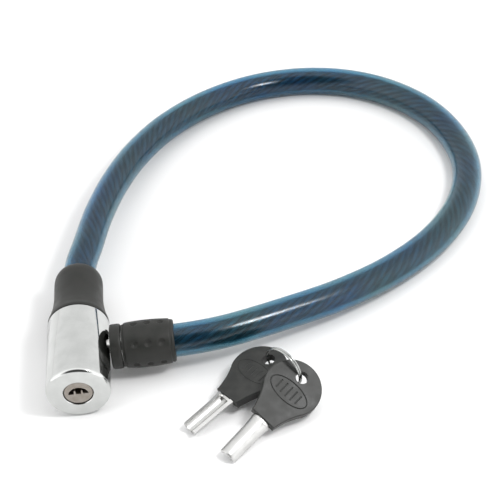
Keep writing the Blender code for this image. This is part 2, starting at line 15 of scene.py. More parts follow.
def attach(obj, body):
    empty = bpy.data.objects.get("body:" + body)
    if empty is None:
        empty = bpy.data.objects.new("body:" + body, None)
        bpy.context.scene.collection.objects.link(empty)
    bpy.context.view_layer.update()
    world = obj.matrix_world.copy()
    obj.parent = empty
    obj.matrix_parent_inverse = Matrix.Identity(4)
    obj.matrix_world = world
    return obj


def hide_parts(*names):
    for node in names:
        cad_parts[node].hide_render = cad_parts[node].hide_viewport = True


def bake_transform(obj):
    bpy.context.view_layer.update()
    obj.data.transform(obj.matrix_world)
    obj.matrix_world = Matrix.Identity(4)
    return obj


MM = 0.001
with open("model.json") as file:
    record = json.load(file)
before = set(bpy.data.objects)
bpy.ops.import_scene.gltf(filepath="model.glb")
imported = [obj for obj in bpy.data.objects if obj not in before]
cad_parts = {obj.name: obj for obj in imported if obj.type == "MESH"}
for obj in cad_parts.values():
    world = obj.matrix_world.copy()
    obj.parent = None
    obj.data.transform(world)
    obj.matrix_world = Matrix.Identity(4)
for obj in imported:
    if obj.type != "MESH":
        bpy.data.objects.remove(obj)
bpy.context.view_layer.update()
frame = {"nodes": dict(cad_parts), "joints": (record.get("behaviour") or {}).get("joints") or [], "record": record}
JOINTS = {joint["name"]: joint for joint in frame["joints"]}

# Places
AXIS = Vector(JOINTS["key_turn"]["pos_m"])
GROUND_POINT = Vector((AXIS.x, AXIS.y, 0.0))
PLUG_DISTANCE = 24.6 * MM
PLUG_AXIS = AXIS + Vector((0, PLUG_DISTANCE, 0))

# Camera: its place, which way it points, and its lens on a 36 mm sensor
CAMERA_PLACE = Vector((12.2, -381.9, 385.9)) * MM
CAMERA_HEADING = math.radians(2.89)
CAMERA_PITCH = math.radians(40.2)
CAMERA_ROLL = math.radians(-4.22)
CAMERA_LENS = 93.6
CAMERA_SENSOR = 36.0

# Cable
CABLE_DIAMETER = 13.8 * MM
JACKET_INNER_RADIUS = 5.15 * MM
JACKET_SIDES = 40
JACKET_START = 51.0 * MM
JACKET_END = 34.0 * MM
CABLE_STEP = 3.0 * MM
ROPE_STRANDS = 7
ROPE_RADIUS = 4.85 * MM
ROPE_LAY = 78.0 * MM
ROPE_WIRE_LAY = 9.0 * MM
STRAND_SIDES = 10
# Middle of the cable from the boot to the plug, seen from the ground point under the body's front face
CABLE_ROUTE_MM = [
    (0.0, 60.0, 13.0), (0.0, 69.5, 13.0), (1.1, 80.0, 12.9), (3.9, 92.1, 12.7), (8.9, 114.7, 11.9),
    (16.8, 139.4, 10.8), (28.0, 163.5, 9.5), (44.3, 186.4, 8.3), (65.6, 204.5, 7.4), (91.2, 215.7, 7.0),
    (118.1, 217.5, 7.0), (142.8, 210.5, 7.0), (163.1, 195.8, 7.0), (178.0, 174.8, 7.0), (185.4, 149.2, 7.0),
    (184.9, 124.2, 7.0), (175.7, 99.0, 7.1), (159.1, 76.9, 7.4), (137.1, 59.0, 8.2), (112.4, 45.3, 9.6),
    (87.5, 35.6, 11.1), (65.8, 28.3, 12.4), (53.0, 25.5, 12.9), (42.5, 24.6, 13.0), (36.5, 24.6, 13.0),
]

# Lock body and key cylinder, in millimetres where no unit is given
BODY_RADIUS = 13.0
BODY_LENGTH = 38.8
BODY_EDGE = 1.8
BODY_STEP = 0.6 * MM
BODY_SIDES = 160
BODY_BORE = 10.9
BODY_LIP = 1.6
CYLINDER_RADIUS = 5.75
CYLINDER_FRONT = 0.4
CYLINDER_BACK = 16.4
FACE_GAP = 0.3
SIDE_BORE = 5.6 * MM
UNDERSIDE_HOLES = (8.7 * MM, 34.8 * MM)
UNDERSIDE_HOLE_RADIUS = 1.5 * MM

# Keyway, in the plane of the key face, in millimetres
KEYWAY_RADIUS = 4.15
KEYWAY_CENTRE = -1.2
KEYWAY_FLOOR = -0.55
KEYWAY_END = 15.4
WARD_FEET = (0.95, 1.9)
WARD_TIP = (1.25, 1.65)
WARD_TOP = 1.35

# Plug sleeve's finger dimples
DIMPLE_PLACES = (23.7 * MM, 29.2 * MM, 34.6 * MM)
DIMPLE_ROWS = 6
# Only what is farther than this from the plug's axis is dimpled
SLEEVE_INNER_LIMIT = 8.9 * MM
DIMPLE_FIRST_ROW = math.radians(43)
DIMPLE_RADIUS = 1.35 * MM
DIMPLE_DEPTH = 0.9 * MM

# Keys, in millimetres and degrees. TANG is half width, length and half thickness.
KEY_THICKNESS = 3.8
HEAD_RADIUS = 11.9
HEAD_CENTRE = 18.0
HEAD_BASE = 5.7
HEAD_BLEND_ANGLE = math.radians(-28)
HEAD_PULL = (7.2, 7.6)
HEAD_EDGE = 0.45
RING_HOLE = 23.8
RING_HOLE_RADIUS = 2.6
# The oval sits a little lower on the face that is up on the rear key
OVAL_CENTRES = {1: 15.5, -1: 14.3}
OVAL_HALF_WIDTH = 8.9
OVAL_HALF_HEIGHT = 4.25
ENGRAVING_RADIUS = 0.3
ENGRAVING_RISE = 0.08
ENGRAVED_BARS = (-5.0, -2.5, 0.0, 2.5, 5.0)
ENGRAVED_BAR_HALF = 2.6
ENGRAVED_BAR_WIDENING = 1.2
TANG = (2.6, 8.0, 0.65)
BLADE_RADIUS = 3.9
BLADE_WALL = 1.4
BLADE_HALF_ANGLE = math.radians(76)
BLADE_LENGTH = 20.3
# A blade's scale at distances from its head, and at distances back from its tip
BLADE_STATIONS = ((0.3, 1.14), (1.2, 1.14), (1.5, 1.10), (3.0, 1.05), (5.0, 1.02), (8.0, 1.0), (14.0, 0.99))
BLADE_TIP_STATIONS = ((0.9, 0.98), (0.4, 0.95), (0.1, 0.90), (0.0, 0.85))
# Half width and half height of the plate at the blade's root, and where it starts and ends along the blade
BLADE_ROOT = (3.7, 1.568, 0.3, 1.3)
BLADE_GROOVE_ANGLE = math.radians(31)
BLADE_GROOVE_DEPTH = 0.8
BLADE_GROOVE_TOP = math.radians(12)
BLADE_GROOVE_FLOOR = math.radians(8)
# Heading, pitch and roll of each key, and which way its blade's round side faces
FRONT_KEY = ("front_key", 41.6, 9.9, 26.0, 1)
REAR_KEY = ("rear_key", 37.2, 8.0, -2.0, -1)
SPLIT_RING_RADIUS = 8.9 * MM
# Place of the ring's middle from midway between the holes: along the line to the front hole, and up
SPLIT_RING_MIDDLE = (-0.6 * MM, 1.8 * MM)
SPLIT_RING_WIRE = 0.42 * MM
SPLIT_RING_TURNS = 1.9
SPLIT_RING_PITCH = 0.9 * MM
SPLIT_RING_START = math.radians(205)
SPLIT_RING_END_SHARES = (0.7, 0.92)

# Finishes by slot. Metal: name, two colours, smoothest and roughest, grain size, grain stretch and grain depth.
BRUSHED_ALONG_Y = (1.0, 0.15, 1.0)
EVEN = (1.0, 1.0, 1.0)
METAL_FINISHES = {
    "chrome": (
        "bright_chrome", (0.54, 0.55, 0.54), (0.59, 0.60, 0.59), 0.05, 0.1, 1.2 * MM, BRUSHED_ALONG_Y, 0.002 * MM
    ),
    "brass": ("turned_brass", (0.74, 0.56, 0.25), (0.80, 0.64, 0.34), 0.2, 0.36, 0.5 * MM, EVEN, 0.004 * MM),
    "steel": ("polished_steel", (0.58, 0.58, 0.57), (0.68, 0.68, 0.67), 0.14, 0.28, 0.5 * MM, EVEN, 0.003 * MM),
    "spring_steel": ("drawn_wire", (0.42, 0.42, 0.42), (0.55, 0.55, 0.54), 0.25, 0.4, 0.3 * MM, EVEN, 0.003 * MM),
    "key_blade_steel": (
        "nickel_plate", (0.54, 0.54, 0.53), (0.62, 0.62, 0.61), 0.30, 0.42, 0.4 * MM, EVEN, 0.003 * MM
    ),
    "ring_steel": ("bright_wire", (0.36, 0.37, 0.36), (0.46, 0.47, 0.46), 0.2, 0.3, 0.5 * MM, EVEN, 0.003 * MM),
}
# Moulded plastic: name, two colours, smoothest and roughest, grain size and grain depth.
MOULDED_FINISHES = {
    "black_plastic": (
        "black_moulding", (0.013, 0.014, 0.012), (0.021, 0.021, 0.019), 0.42, 0.55, 0.35 * MM, 0.03 * MM
    ),
    "key_head_plastic": (
        "key_moulding", (0.020, 0.021, 0.020), (0.034, 0.035, 0.033), 0.36, 0.5, 0.3 * MM, 0.04 * MM
    ),
}
JACKET_TINTS = ((0.085, 0.27, 0.34), (0.02, 0.20, 0.42))
# Rope base colours: painted shade in the grooves between the wires, then the wires' own grey
PAINTED_GROOVE_SHADE_AND_WIRE_GREY = ((0.12, 0.13, 0.13), (0.40, 0.42, 0.42))
WIRES_ROUND_A_STRAND = 3
TOOL_RING_SPACING = 0.22 * MM

# Light, from the middle of the lock out
SCENE_MIDDLE = Vector((20, 70, 10)) * MM
KEY_LIGHT_DIRECTION = (0.455, -0.39, 0.80)
KEY_LIGHT_DISTANCE = 0.46
KEY_LIGHT_SIZE = (0.09, 0.09)
KEY_LIGHT_POWER = 0.85
FLOOR_HALF_SIZE = 3.0
STUDIO_BRIGHTNESS = 1.9
# The share of the brightness straight up
OVERHEAD_SHADE = 0.88
# Direction of the darker patch, its share of the brightness, and the cosines at its rim and where it is darkest
DARK_PATCH = Vector((0.0, -0.76, 0.65))
DARK_PATCH_SHADE = 0.05
DARK_PATCH_REACH = (0.72, 0.9)
# The studio is greyer behind the lock: its share of the brightness there, and where that starts and ends along Y
BACK_SHADE = 0.62
BACK_REACH = (-0.2, 0.7)


# --- Shapes ---------------------------------------------------------------------------------------------------


def arc(centre, radius, start, end, steps, height=None):
    """(x, y) points along an arc, or along an ellipse's arc if a height is given for its other half-axis."""
    tall = radius if height is None else height
    angles = [start + (end - start) * i / steps for i in range(steps + 1)]
    return [(centre[0] + radius * math.cos(a), centre[1] + tall * math.sin(a)) for a in angles]


def rounded(corners, steps=6):
    """A closed outline in metres from (x, y, rounding) corners in millimetres, each cut back by its rounding."""
    points = []
    for i, (x, y, rounding) in enumerate(corners):
        here = Vector((x, y))
        if not rounding:
            points.append(here)
            continue
        before = Vector(corners[i - 1][:2]) - here
        after = Vector(corners[(i + 1) % len(corners)][:2]) - here
        a = here + before.normalized() * min(rounding, before.length / 2)
        b = here + after.normalized() * min(rounding, after.length / 2)
        for k in range(steps + 1):
            t = k / steps
            points.append(a * (1 - t) ** 2 + here * 2 * t * (1 - t) + b * t**2)
    return [(point.x * MM, point.y * MM) for point in points]


def divided(outline, step, low, high):
    """The outline with its long straight runs cut to about step, where both ends are from low to high along it."""
    points = []
    for a, b in zip(outline, outline[1:] + outline[:1]):
        points.append(a)
        long = math.dist(a, b)
        if long > step and min(a[1], b[1]) >= low and max(a[1], b[1]) <= high:
            count = math.ceil(long / step)
            points += [tuple(Vector(a).lerp(Vector(b), k / count)) for k in range(1, count)]
    return points


def smooth_line(route, step):
    """Points about one step apart on a smooth curve through the route's points."""
    ends = [route[0] * 2 - route[1], *route, route[-1] * 2 - route[-2]]
    fine = []
    for a, b, c, d in zip(ends, ends[1:], ends[2:], ends[3:]):
        for i in range(40):
            t = i / 40
            fine.append(
                (b * 2 + (c - a) * t + (a * 2 - b * 5 + c * 4 - d) * t**2 + (b * 3 - a - c * 3 + d) * t**3) / 2
            )
    fine.append(route[-1])
    far = [0.0]
    for a, b in zip(fine, fine[1:]):
        far.append(far[-1] + (b - a).length)
    count = round(far[-1] / step)
    line, k = [], 0
    for i in range(count + 1):
        wanted = far[-1] * i / count
        while far[k + 1] < wanted and k < len(fine) - 2:
            k += 1
        line.append(fine[k].lerp(fine[k + 1], (wanted - far[k]) / (far[k + 1] - far[k])))
    return line


def turned(outline, axis, sides):
    """Turns (radius, distance) points about the axis. An outline that leaves the axis open is closed into a ring."""
    along = Vector({"X": (1, 0, 0), "Y": (0, 1, 0), "Z": (0, 0, 1)}[axis])
    out = Vector({"X": (0, 0, 1), "Y": (1, 0, 0), "Z": (1, 0, 0)}[axis])
    bm = bmesh.new()
    verts = [bm.verts.new(out * radius + along * distance) for radius, distance in outline]
    pairs = list(zip(verts, verts[1:]))
    if outline[0][0] > 0:
        pairs.append((verts[-1], verts[0]))
    edges = [bm.edges.new(pair) for pair in pairs]
    turn = {"cent": (0, 0, 0), "axis": along, "angle": math.tau, "steps": sides}
    bmesh.ops.spin(bm, geom=verts + edges, use_merge=True, **turn)
    bmesh.ops.remove_doubles(bm, verts=bm.verts, dist=1e-6)
    bmesh.ops.recalc_face_normals(bm, faces=bm.faces)
    return bm


def rod(radius, start, end, axis, sides=48):
    return turned([(0.0, start), (radius, start), (radius, end), (0.0, end)], axis, sides)


def prism(outline, low, high):
    """Extrudes an outline of (x, y) points from z = low to z = high."""
    bm = bmesh.new()
    face = bm.faces.new([bm.verts.new((x, y, low)) for x, y in outline])
    grown = bmesh.ops.extrude_face_region(bm, geom=[face])
    tops = [item for item in grown["geom"] if isinstance(item, bmesh.types.BMVert)]
    bmesh.ops.translate(bm, verts=tops, vec=(0, 0, high - low))
    bmesh.ops.recalc_face_normals(bm, faces=bm.faces)
    return bm


def moved(bm, matrix):
    bmesh.ops.transform(bm, matrix=matrix, verts=bm.verts)
    return bm


def loose_object(bm):
    """A passing object that holds bm, for a Boolean."""
    mesh = bpy.data.meshes.new("passing")
    bm.to_mesh(mesh)
    bm.free()
    obj = bpy.data.objects.new("passing", mesh)
    bpy.context.scene.collection.objects.link(obj)
    return obj


def carved(bm, *tools):
    """bm with each tool shape cut from it."""
    target = loose_object(bm)
    cutters = [loose_object(tool) for tool in tools]
    for cutter in cutters:
        change = target.modifiers.new("cut", "BOOLEAN")
        change.operation = "DIFFERENCE"
        change.object = cutter
    bpy.context.view_layer.update()
    result = bmesh.new()
    result.from_object(target, bpy.context.evaluated_depsgraph_get())
    for obj in (target, *cutters):
        mesh = obj.data
        bpy.data.objects.remove(obj)
        bpy.data.meshes.remove(mesh)
    bmesh.ops.dissolve_degenerate(result, edges=result.edges, dist=1e-7)
    return result


def skinned(rings, uvs=None):
    """A solid through rings of points, closed at both ends. uvs gives each ring's second texture coordinate."""
    bm = bmesh.new()
    made = [[bm.verts.new(point) for point in ring] for ring in rings]
    layer = bm.loops.layers.uv.new("wires") if uvs else None
    sides = len(made[0])
    for i, (a, b) in enumerate(zip(made, made[1:])):
        for k in range(sides):
            m = (k + 1) % sides
            face = bm.faces.new((a[k], a[m], b[m], b[k]))
            if layer:
                corners = ((k, i), (k + 1, i), (k + 1, i + 1), (k, i + 1))
                for loop, (across, along) in zip(face.loops, corners):
                    loop[layer].uv = (across / sides, uvs[along])
    bm.faces.new(made[0])
    bm.faces.new(list(reversed(made[-1])))
    bmesh.ops.recalc_face_normals(bm, faces=bm.faces)
    return bm


def across(points, i):
    """The sideways and upward directions square to a line at its point i."""
    tangent = (points[min(i + 1, len(points) - 1)] - points[max(i - 1, 0)]).normalized()
    side = tangent.cross(Vector((0, 0, 1))).normalized()
    return side, side.cross(tangent)


def ring_of(middle, side, up, radius, sides, offset=0.0):
    angles = [offset + math.tau * k / sides for k in range(sides)]
    return [middle + (side * math.cos(a) + up * math.sin(a)) * radius for a in angles]


def pipe(points, outer, inner, sides):
    """A pipe with a wall along the points, with its two ends closed between outside and inside."""
    bm = bmesh.new()
    walls = []
    for radius in (outer, inner):
        rings = []
        for i, point in enumerate(points):
            side, up = across(points, i)
            rings.append([bm.verts.new(place) for place in ring_of(point, side, up, radius, sides)])
        walls.append(rings)
        for a, b in zip(rings, rings[1:]):
            for k in range(sides):
                bm.faces.new((a[k], a[(k + 1) % sides], b[(k + 1) % sides], b[k]))
    for end in (0, -1):
        a, b = walls[0][end], walls[1][end]
        for k in range(sides):
            bm.faces.new((a[k], a[(k + 1) % sides], b[(k + 1) % sides], b[k]))
    bmesh.ops.recalc_face_normals(bm, faces=bm.faces)
    return bm


def joined(parts):
    """One mesh that holds every part, with their texture coordinates."""
    whole = bmesh.new()
    for part in parts:
        mesh = bpy.data.meshes.new("passing")
        part.to_mesh(mesh)
        part.free()
        whole.from_mesh(mesh)
        bpy.data.meshes.remove(mesh)
    return whole


def piece(name, bm, look, replaces, body=None, sharp=35, weighted=False):
    """Makes a shown piece from bm, which is in the part's frame, hides the parts it replaces and hangs it on the empty
    of the body it rides on.
    """
    mesh = bpy.data.meshes.new(name)
    bm.to_mesh(mesh)
    bm.free()
    mesh.shade_smooth()
    mesh.set_sharp_from_angle(angle=math.radians(sharp))
    mesh.materials.append(look)
    obj = bpy.data.objects.new(name, mesh)
    bpy.context.scene.collection.objects.link(obj)
    if weighted:
        even = obj.modifiers.new("flat_faces_stay_flat", "WEIGHTED_NORMAL")
        even.keep_sharp = True
    if body:
        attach(obj, body)
    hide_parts(*replaces)
    return obj


# --- Materials ------------------------------------------------------------------------------------------------


def new_material(name, constants):
    """A node material and its Principled shader, with the sockets in constants set to plain values."""
    made = bpy.data.materials.new(name)
    made.use_nodes = True
    shader = made.node_tree.nodes["Principled BSDF"]
    for socket, value in constants.items():
        shader.inputs[socket].default_value = value
    return made, made.node_tree, shader


def coordinates(tree, stretch=(1.0, 1.0, 1.0), middle=(0.0, 0.0, 0.0)):
    source = tree.nodes.new("ShaderNodeTexCoord")
    mapping = tree.nodes.new("ShaderNodeMapping")
    mapping.inputs["Location"].default_value = [-m * s for m, s in zip(middle, stretch)]
    mapping.inputs["Scale"].default_value = stretch
    tree.links.new(source.outputs["Object"], mapping.inputs["Vector"])
    return mapping.outputs["Vector"]


def noise(tree, size, detail=3.0, stretch=(1.0, 1.0, 1.0)):
    """Noise whose blotches are about size metres across."""
    made = tree.nodes.new("ShaderNodeTexNoise")
    made.inputs["Scale"].default_value = 1.0 / size
    made.inputs["Detail"].default_value = detail
    tree.links.new(coordinates(tree, stretch), made.inputs["Vector"])
    return made.outputs["Fac"]


def calculated(tree, operation, first, second=None):
    made = tree.nodes.new("ShaderNodeMath")
    made.operation = operation
    for socket, value in zip(made.inputs, (first, second)):
        if isinstance(value, (int, float)):
            socket.default_value = value
        elif value is not None:
            tree.links.new(value, socket)
    return made.outputs["Value"]


def ranged(tree, value, low, high, start=0.35, end=0.65):
    """The value spread from low to high, as it goes from start to end."""
    made = tree.nodes.new("ShaderNodeMapRange")
    settings = {"From Min": start, "From Max": end, "To Min": low, "To Max": high}
    for socket, number in settings.items():
        made.inputs[socket].default_value = number
    tree.links.new(value, made.inputs["Value"])
    return made.outputs["Result"]


def coloured(tree, factor, first, second):
    """A colour from first to second as factor goes from 0.35 to 0.65."""
    made = tree.nodes.new("ShaderNodeMix")
    made.data_type = "RGBA"
    made.inputs["A"].default_value = (*first, 1.0)
    made.inputs["B"].default_value = (*second, 1.0)
    tree.links.new(ranged(tree, factor, 0.0, 1.0), made.inputs["Factor"])
    return made.outputs["Result"]


def bumped(tree, shader, height, distance, strength=1.0):
    made = tree.nodes.new("ShaderNodeBump")
    made.inputs["Distance"].default_value = distance
    made.inputs["Strength"].default_value = strength
    tree.links.new(height, made.inputs["Height"])
    tree.links.new(made.outputs["Normal"], shader.inputs["Normal"])


def metal(name, first, second, smooth, rough, grain, stretch, depth):
    """Metal with a two-tone colour, a roughness that varies and a fine grain, stretched the way it was finished."""
    made, tree, shader = new_material(name, {"Metallic": 1.0})
    fine = noise(tree, grain, 4.0, stretch)
    broad = noise(tree, 6 * MM, 2.0)
    tree.links.new(coloured(tree, broad, first, second), shader.inputs["Base Color"])
    tree.links.new(ranged(tree, fine, smooth, rough), shader.inputs["Roughness"])
    bumped(tree, shader, fine, depth)
    return made


def moulded(name, first, second, smooth, rough, grain, depth):
    """Moulded plastic with a fine grain and a slightly uneven sheen."""
    made, tree, shader = new_material(name, {"IOR": 1.5, "Specular IOR Level": 0.32})
    fine = noise(tree, grain, 3.0)
    broad = noise(tree, 5 * MM, 3.0)
    tree.links.new(coloured(tree, broad, first, second), shader.inputs["Base Color"])
    tree.links.new(ranged(tree, broad, smooth, rough), shader.inputs["Roughness"])
    bumped(tree, shader, fine, depth)
    return made


def turned_face(name, first, second):
    """The key cylinder's metal, with rings left by the turning tool on its face."""
    made, tree, shader = new_material(name, {"Metallic": 1.0})
    outwards = tree.nodes.new("ShaderNodeVectorMath")
    outwards.operation = "LENGTH"
    tree.links.new(coordinates(tree, (1.0, 0.0, 1.0), tuple(AXIS)), outwards.inputs[0])
    turns = calculated(tree, "MULTIPLY", outwards.outputs["Value"], math.tau / TOOL_RING_SPACING)
    rings = calculated(tree, "SINE", turns)
    broad = noise(tree, 2.5 * MM, 4.0)
    tree.links.new(coloured(tree, broad, first, second), shader.inputs["Base Color"])
    tree.links.new(ranged(tree, broad, 0.34, 0.5), shader.inputs["Roughness"])
    bumped(tree, shader, rings, 0.006 * MM)
    return made


def clear_jacket(name):
    """Clear blue plastic: tinted, slightly hazy inside and glossy outside."""
    constants = {
        "IOR": 1.46,
        "Transmission Weight": 0.96,
        "Specular IOR Level": 0.3,
    }
    made, tree, shader = new_material(name, constants)
    slow = noise(tree, 45 * MM, 2.0)
    tree.links.new(coloured(tree, slow, *JACKET_TINTS), shader.inputs["Base Color"])
    streaks = noise(tree, 4 * MM, 3.0)
    tree.links.new(ranged(tree, streaks, 0.14, 0.24), shader.inputs["Roughness"])
    bumped(tree, shader, noise(tree, 12 * MM, 1.0), 0.05 * MM)
    return made


def rope_wires(name):
    """Grey strands whose broad wires wind round them, with painted shade darkening the grooves between the wires."""
    made, tree, shader = new_material(name, {"Metallic": 1.0, "Roughness": 0.45})
    places = tree.nodes.new("ShaderNodeUVMap")
    places.uv_map = "wires"
    split = tree.nodes.new("ShaderNodeSeparateXYZ")
    tree.links.new(places.outputs["UV"], split.inputs["Vector"])
    turns = calculated(tree, "MULTIPLY", split.outputs["X"], WIRES_ROUND_A_STRAND)
    phase = calculated(tree, "MULTIPLY", calculated(tree, "SUBTRACT", turns, split.outputs["Y"]), math.tau)
    wires = ranged(tree, calculated(tree, "SINE", phase), 0.0, 1.0, -1.0, 1.0)
    # Painted shade: the base colour goes dark in the grooves between the wires
    tree.links.new(coloured(tree, wires, *PAINTED_GROOVE_SHADE_AND_WIRE_GREY), shader.inputs["Base Color"])
    bumped(tree, shader, wires, 0.12 * MM)
    return made


def floor_material():
    made, tree, shader = new_material("pale_floor", {"Roughness": 0.7, "Specular IOR Level": 0.2})
    shade = coloured(tree, noise(tree, 80 * MM), (0.90, 0.90, 0.90), (0.92, 0.92, 0.92))
    tree.links.new(shade, shader.inputs["Base Color"])
    return made


def make_looks():
    """Every material, by the name of the record's slot."""
    looks = {slot: metal(*finish) for slot, finish in METAL_FINISHES.items()}
    looks.update({slot: moulded(*finish) for slot, finish in MOULDED_FINISHES.items()})
    looks["key_cylinder_steel"] = turned_face("warm_turned_steel", (0.27, 0.24, 0.21), (0.36, 0.33, 0.30))
    looks["wire_rope_steel"] = rope_wires("twisted_wire")
    looks["blue_jacket"] = clear_jacket("clear_blue_jacket")
    return looks


# --- Cable ----------------------------------------------------------------------------------------------------


def make_cable(looks):
    """The clear jacket and the stranded rope in it, and their middle line."""
    route = smooth_line([GROUND_POINT + Vector(point) * MM for point in CABLE_ROUTE_MM], CABLE_STEP)
    start = AXIS + Vector((0, JACKET_START, 0))
    end = PLUG_AXIS + Vector((JACKET_END, 0, 0))
    line = [start, start.lerp(route[0], 0.33), start.lerp(route[0], 0.67), *route, end]

    shell = pipe(line, CABLE_DIAMETER / 2, JACKET_INNER_RADIUS, JACKET_SIDES)
    jacket = piece("clear_jacket", shell, looks["blue_jacket"], ["cable_jacket"], sharp=60)
    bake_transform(jacket)

    sine = math.sin(math.pi / ROPE_STRANDS)
    strand_radius = ROPE_RADIUS * sine / (1 + sine)
    winding_radius = ROPE_RADIUS - strand_radius
    along = [0.0]
    for a, b in zip(line, line[1:]):
        along.append(along[-1] + (b - a).length)
    strands = []
    for n in range(ROPE_STRANDS):
        middles = []
        for i, point in enumerate(line):
            side, up = across(line, i)
            angle = math.tau * (n / ROPE_STRANDS + along[i] / ROPE_LAY)
            middles.append(point + (side * math.cos(angle) + up * math.sin(angle)) * winding_radius)
        rings = []
        for i, point in enumerate(middles):
            side, up = across(middles, i)
            rings.append(ring_of(point, side, up, strand_radius, STRAND_SIDES))
        strands.append(skinned(rings, [far / ROPE_WIRE_LAY for far in along]))
    slot_name = "wire_rope_steel"
    rope = piece("stranded_rope", joined(strands), looks[slot_name], ["wire_rope"], sharp=60)
    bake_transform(rope)
    return jacket, rope, line


# --- Lock body ------------------------------------------------------------------------------------------------


def make_body_shell(looks):
    bore = CYLINDER_RADIUS + FACE_GAP
    edge = arc((BODY_RADIUS - BODY_EDGE, BODY_EDGE), BODY_EDGE, -math.pi / 2, 0.0, 10)
    back = [
        (BODY_RADIUS, BODY_LENGTH - 0.5), (BODY_RADIUS - 0.15, BODY_LENGTH - 0.15), (BODY_RADIUS - 0.5, BODY_LENGTH)
    ]
    inside = [(BODY_BORE, BODY_LENGTH), (BODY_BORE, BODY_LIP), (bore, BODY_LIP), (bore, 0.2), (bore + 0.2, 0.0)]
    outline = [(radius * MM, far * MM) for radius, far in (*edge, *back, *inside)]
    outline = divided(outline, BODY_STEP, 2 * MM, BODY_LENGTH * MM)
    shell = turned(outline, "Y", BODY_SIDES)
    side = moved(rod(SIDE_BORE, 2 * MM, 15 * MM, "X", 96), Matrix.Translation((0, PLUG_DISTANCE, 0)))
    holes = [
        moved(rod(UNDERSIDE_HOLE_RADIUS, -15 * MM, -9 * MM, "Z", 32), Matrix.Translation((0, y, 0)))
        for y in UNDERSIDE_HOLES
    ]
    shell = moved(carved(shell, side, *holes), Matrix.Translation(AXIS))
    piece("chrome_body", shell, looks["chrome"], ["body_shell"], "lock_body", sharp=32)


def keyway_outline():
    """The half-moon that the key's blade goes through, with two wards on its floor."""
    start = math.asin((KEYWAY_FLOOR - KEYWAY_CENTRE) / KEYWAY_RADIUS)
    roof = arc((0.0, KEYWAY_CENTRE), KEYWAY_RADIUS, start, math.pi - start, 32)
    right_ward = [
        (WARD_FEET[0], KEYWAY_FLOOR), (WARD_TIP[0], WARD_TOP), (WARD_TIP[1], WARD_TOP), (WARD_FEET[1], KEYWAY_FLOOR)
    ]
    left_ward = [(-x, y) for x, y in reversed(right_ward)]
    return [(x * MM, y * MM) for x, y in roof + left_ward + right_ward]


def make_key_cylinder(looks):
    corners = [
        (0.0, CYLINDER_FRONT, 0), (CYLINDER_RADIUS, CYLINDER_FRONT, 0.25), (CYLINDER_RADIUS, CYLINDER_BACK, 0.1),
        (0.0, CYLINDER_BACK, 0),
    ]
    outline = rounded(corners, 3)
    slot = prism(keyway_outline(), -KEYWAY_END * MM, 5 * MM)
    moved(slot, Matrix.Rotation(math.pi / 2, 4, "X"))
    cylinder = carved(turned(outline, "Y", 96), slot)
    moved(cylinder, Matrix.Translation(AXIS))
    slot_name = "key_cylinder_steel"
    piece("key_face", cylinder, looks[slot_name], ["key_cylinder"], "key_cylinder", weighted=True)


def make_boot(looks):
    """The boot's flare hugs the body, its barrel is plain, and its shoulder rounds in to the cable."""
    flare = [
        (12.9, 39.1, 0.2), (12.9, 40.3, 0.5), (12.2, 42.6, 1.0), (11.3, 46.5, 1.6), (10.8, 50.2, 1.6),
        (10.5, 54.0, 1.6), (10.5, 62.0, 0.2),
    ]
    shoulder = [(x, y, 0) for x, y in arc((7.9, 64.4), 2.6, 0.0, math.pi / 2, 14, 5.6)]
    mouth = [(7.1, 70.0, 0.25), (7.1, 50.6, 0), (7.3, 50.6, 0), (7.3, 39.1, 0)]
    boot = moved(turned(rounded([*flare, *shoulder, *mouth]), "Y", 112), Matrix.Translation(AXIS))
    piece("boot_sleeve", boot, looks["black_plastic"], ["cable_boot"], "lock_body", sharp=50)


# --- Plug -----------------------------------------------------------------------------------------------------


def make_stud(looks):
    corners = [
        (0.0, -6.4, 0), (3.6, -6.4, 1.6), (3.6, -2.8, 0.15), (1.8, -2.8, 0.1), (1.8, 0.2, 0.1), (3.6, 0.2, 0.15),
        (3.6, 15.6, 0), (5.6, 15.6, 0), (5.6, 17.4, 0), (2.4, 17.4, 0), (2.4, 21.0, 0), (0.0, 21.0, 0),
    ]
    stud = moved(turned(rounded(corners), "X", 72), Matrix.Translation(PLUG_AXIS))
    return piece("bright_stud", stud, looks["steel"], ["latch_stud"], "plug")


def make_collar(looks):
    corners = [
        (3.9, 13.5, 0), (9.2, 13.5, 0.9), (9.35, 16.9, 0.6), (9.1, 18.0, 0.5), (7.25, 18.0, 0), (7.25, 15.3, 0),
        (3.9, 15.3, 0),
    ]
    collar = moved(turned(rounded(corners), "X", 112), Matrix.Translation(PLUG_AXIS))
    return piece("collar_ring", collar, looks["black_plastic"], ["plug_collar"], "plug", sharp=50)


def dimple_depth(distance):
    """How deep a dimple is at a distance from its middle: a shallow round cup."""
    share = distance / DIMPLE_RADIUS
    return DIMPLE_DEPTH * math.sqrt(1 - share**2) if share < 1 else 0.0


